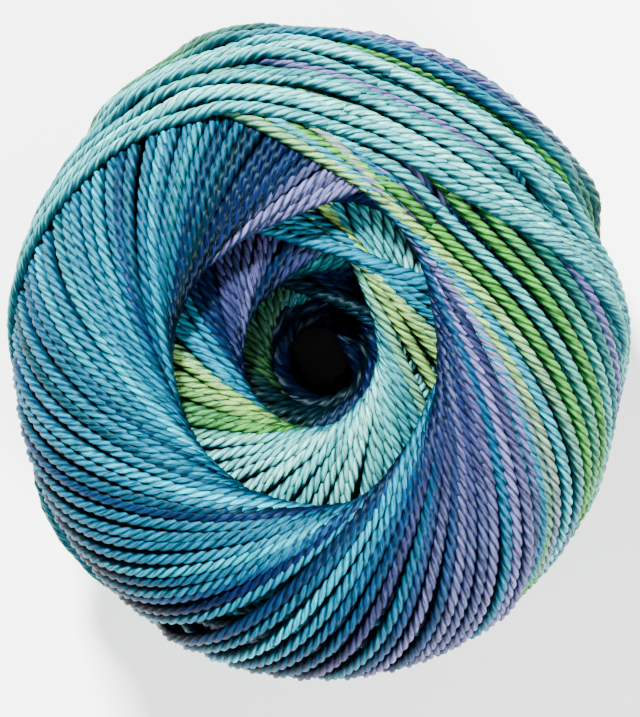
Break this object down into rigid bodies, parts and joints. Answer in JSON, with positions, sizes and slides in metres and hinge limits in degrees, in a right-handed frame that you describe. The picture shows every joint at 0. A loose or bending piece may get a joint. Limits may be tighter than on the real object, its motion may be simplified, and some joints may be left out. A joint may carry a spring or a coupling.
{
  "type": "centre-pull ball of cotton yarn",
  "caption": "Round, slightly flattened centre-pull ball of plied cotton yarn, wound in overlapping bands round an open funnel-shaped hole.",
  "frame": {"origin": "middle of the flat spot that the ball rests on, on the axis of the hole", "axes": "+Z up along the hole, +X to the right and +Y up as the wound end is looked at from above"},
  "size_m": [0.0808, 0.084, 0.0575],
  "materials": {
    "cotton_yarn": "plied mercerised cotton, long colour changes from turquoise through green, lavender and navy"
  },
  "bodies": {
    "root": {"wound_yarn": "cotton_yarn"}
  },
  "joints": []
}
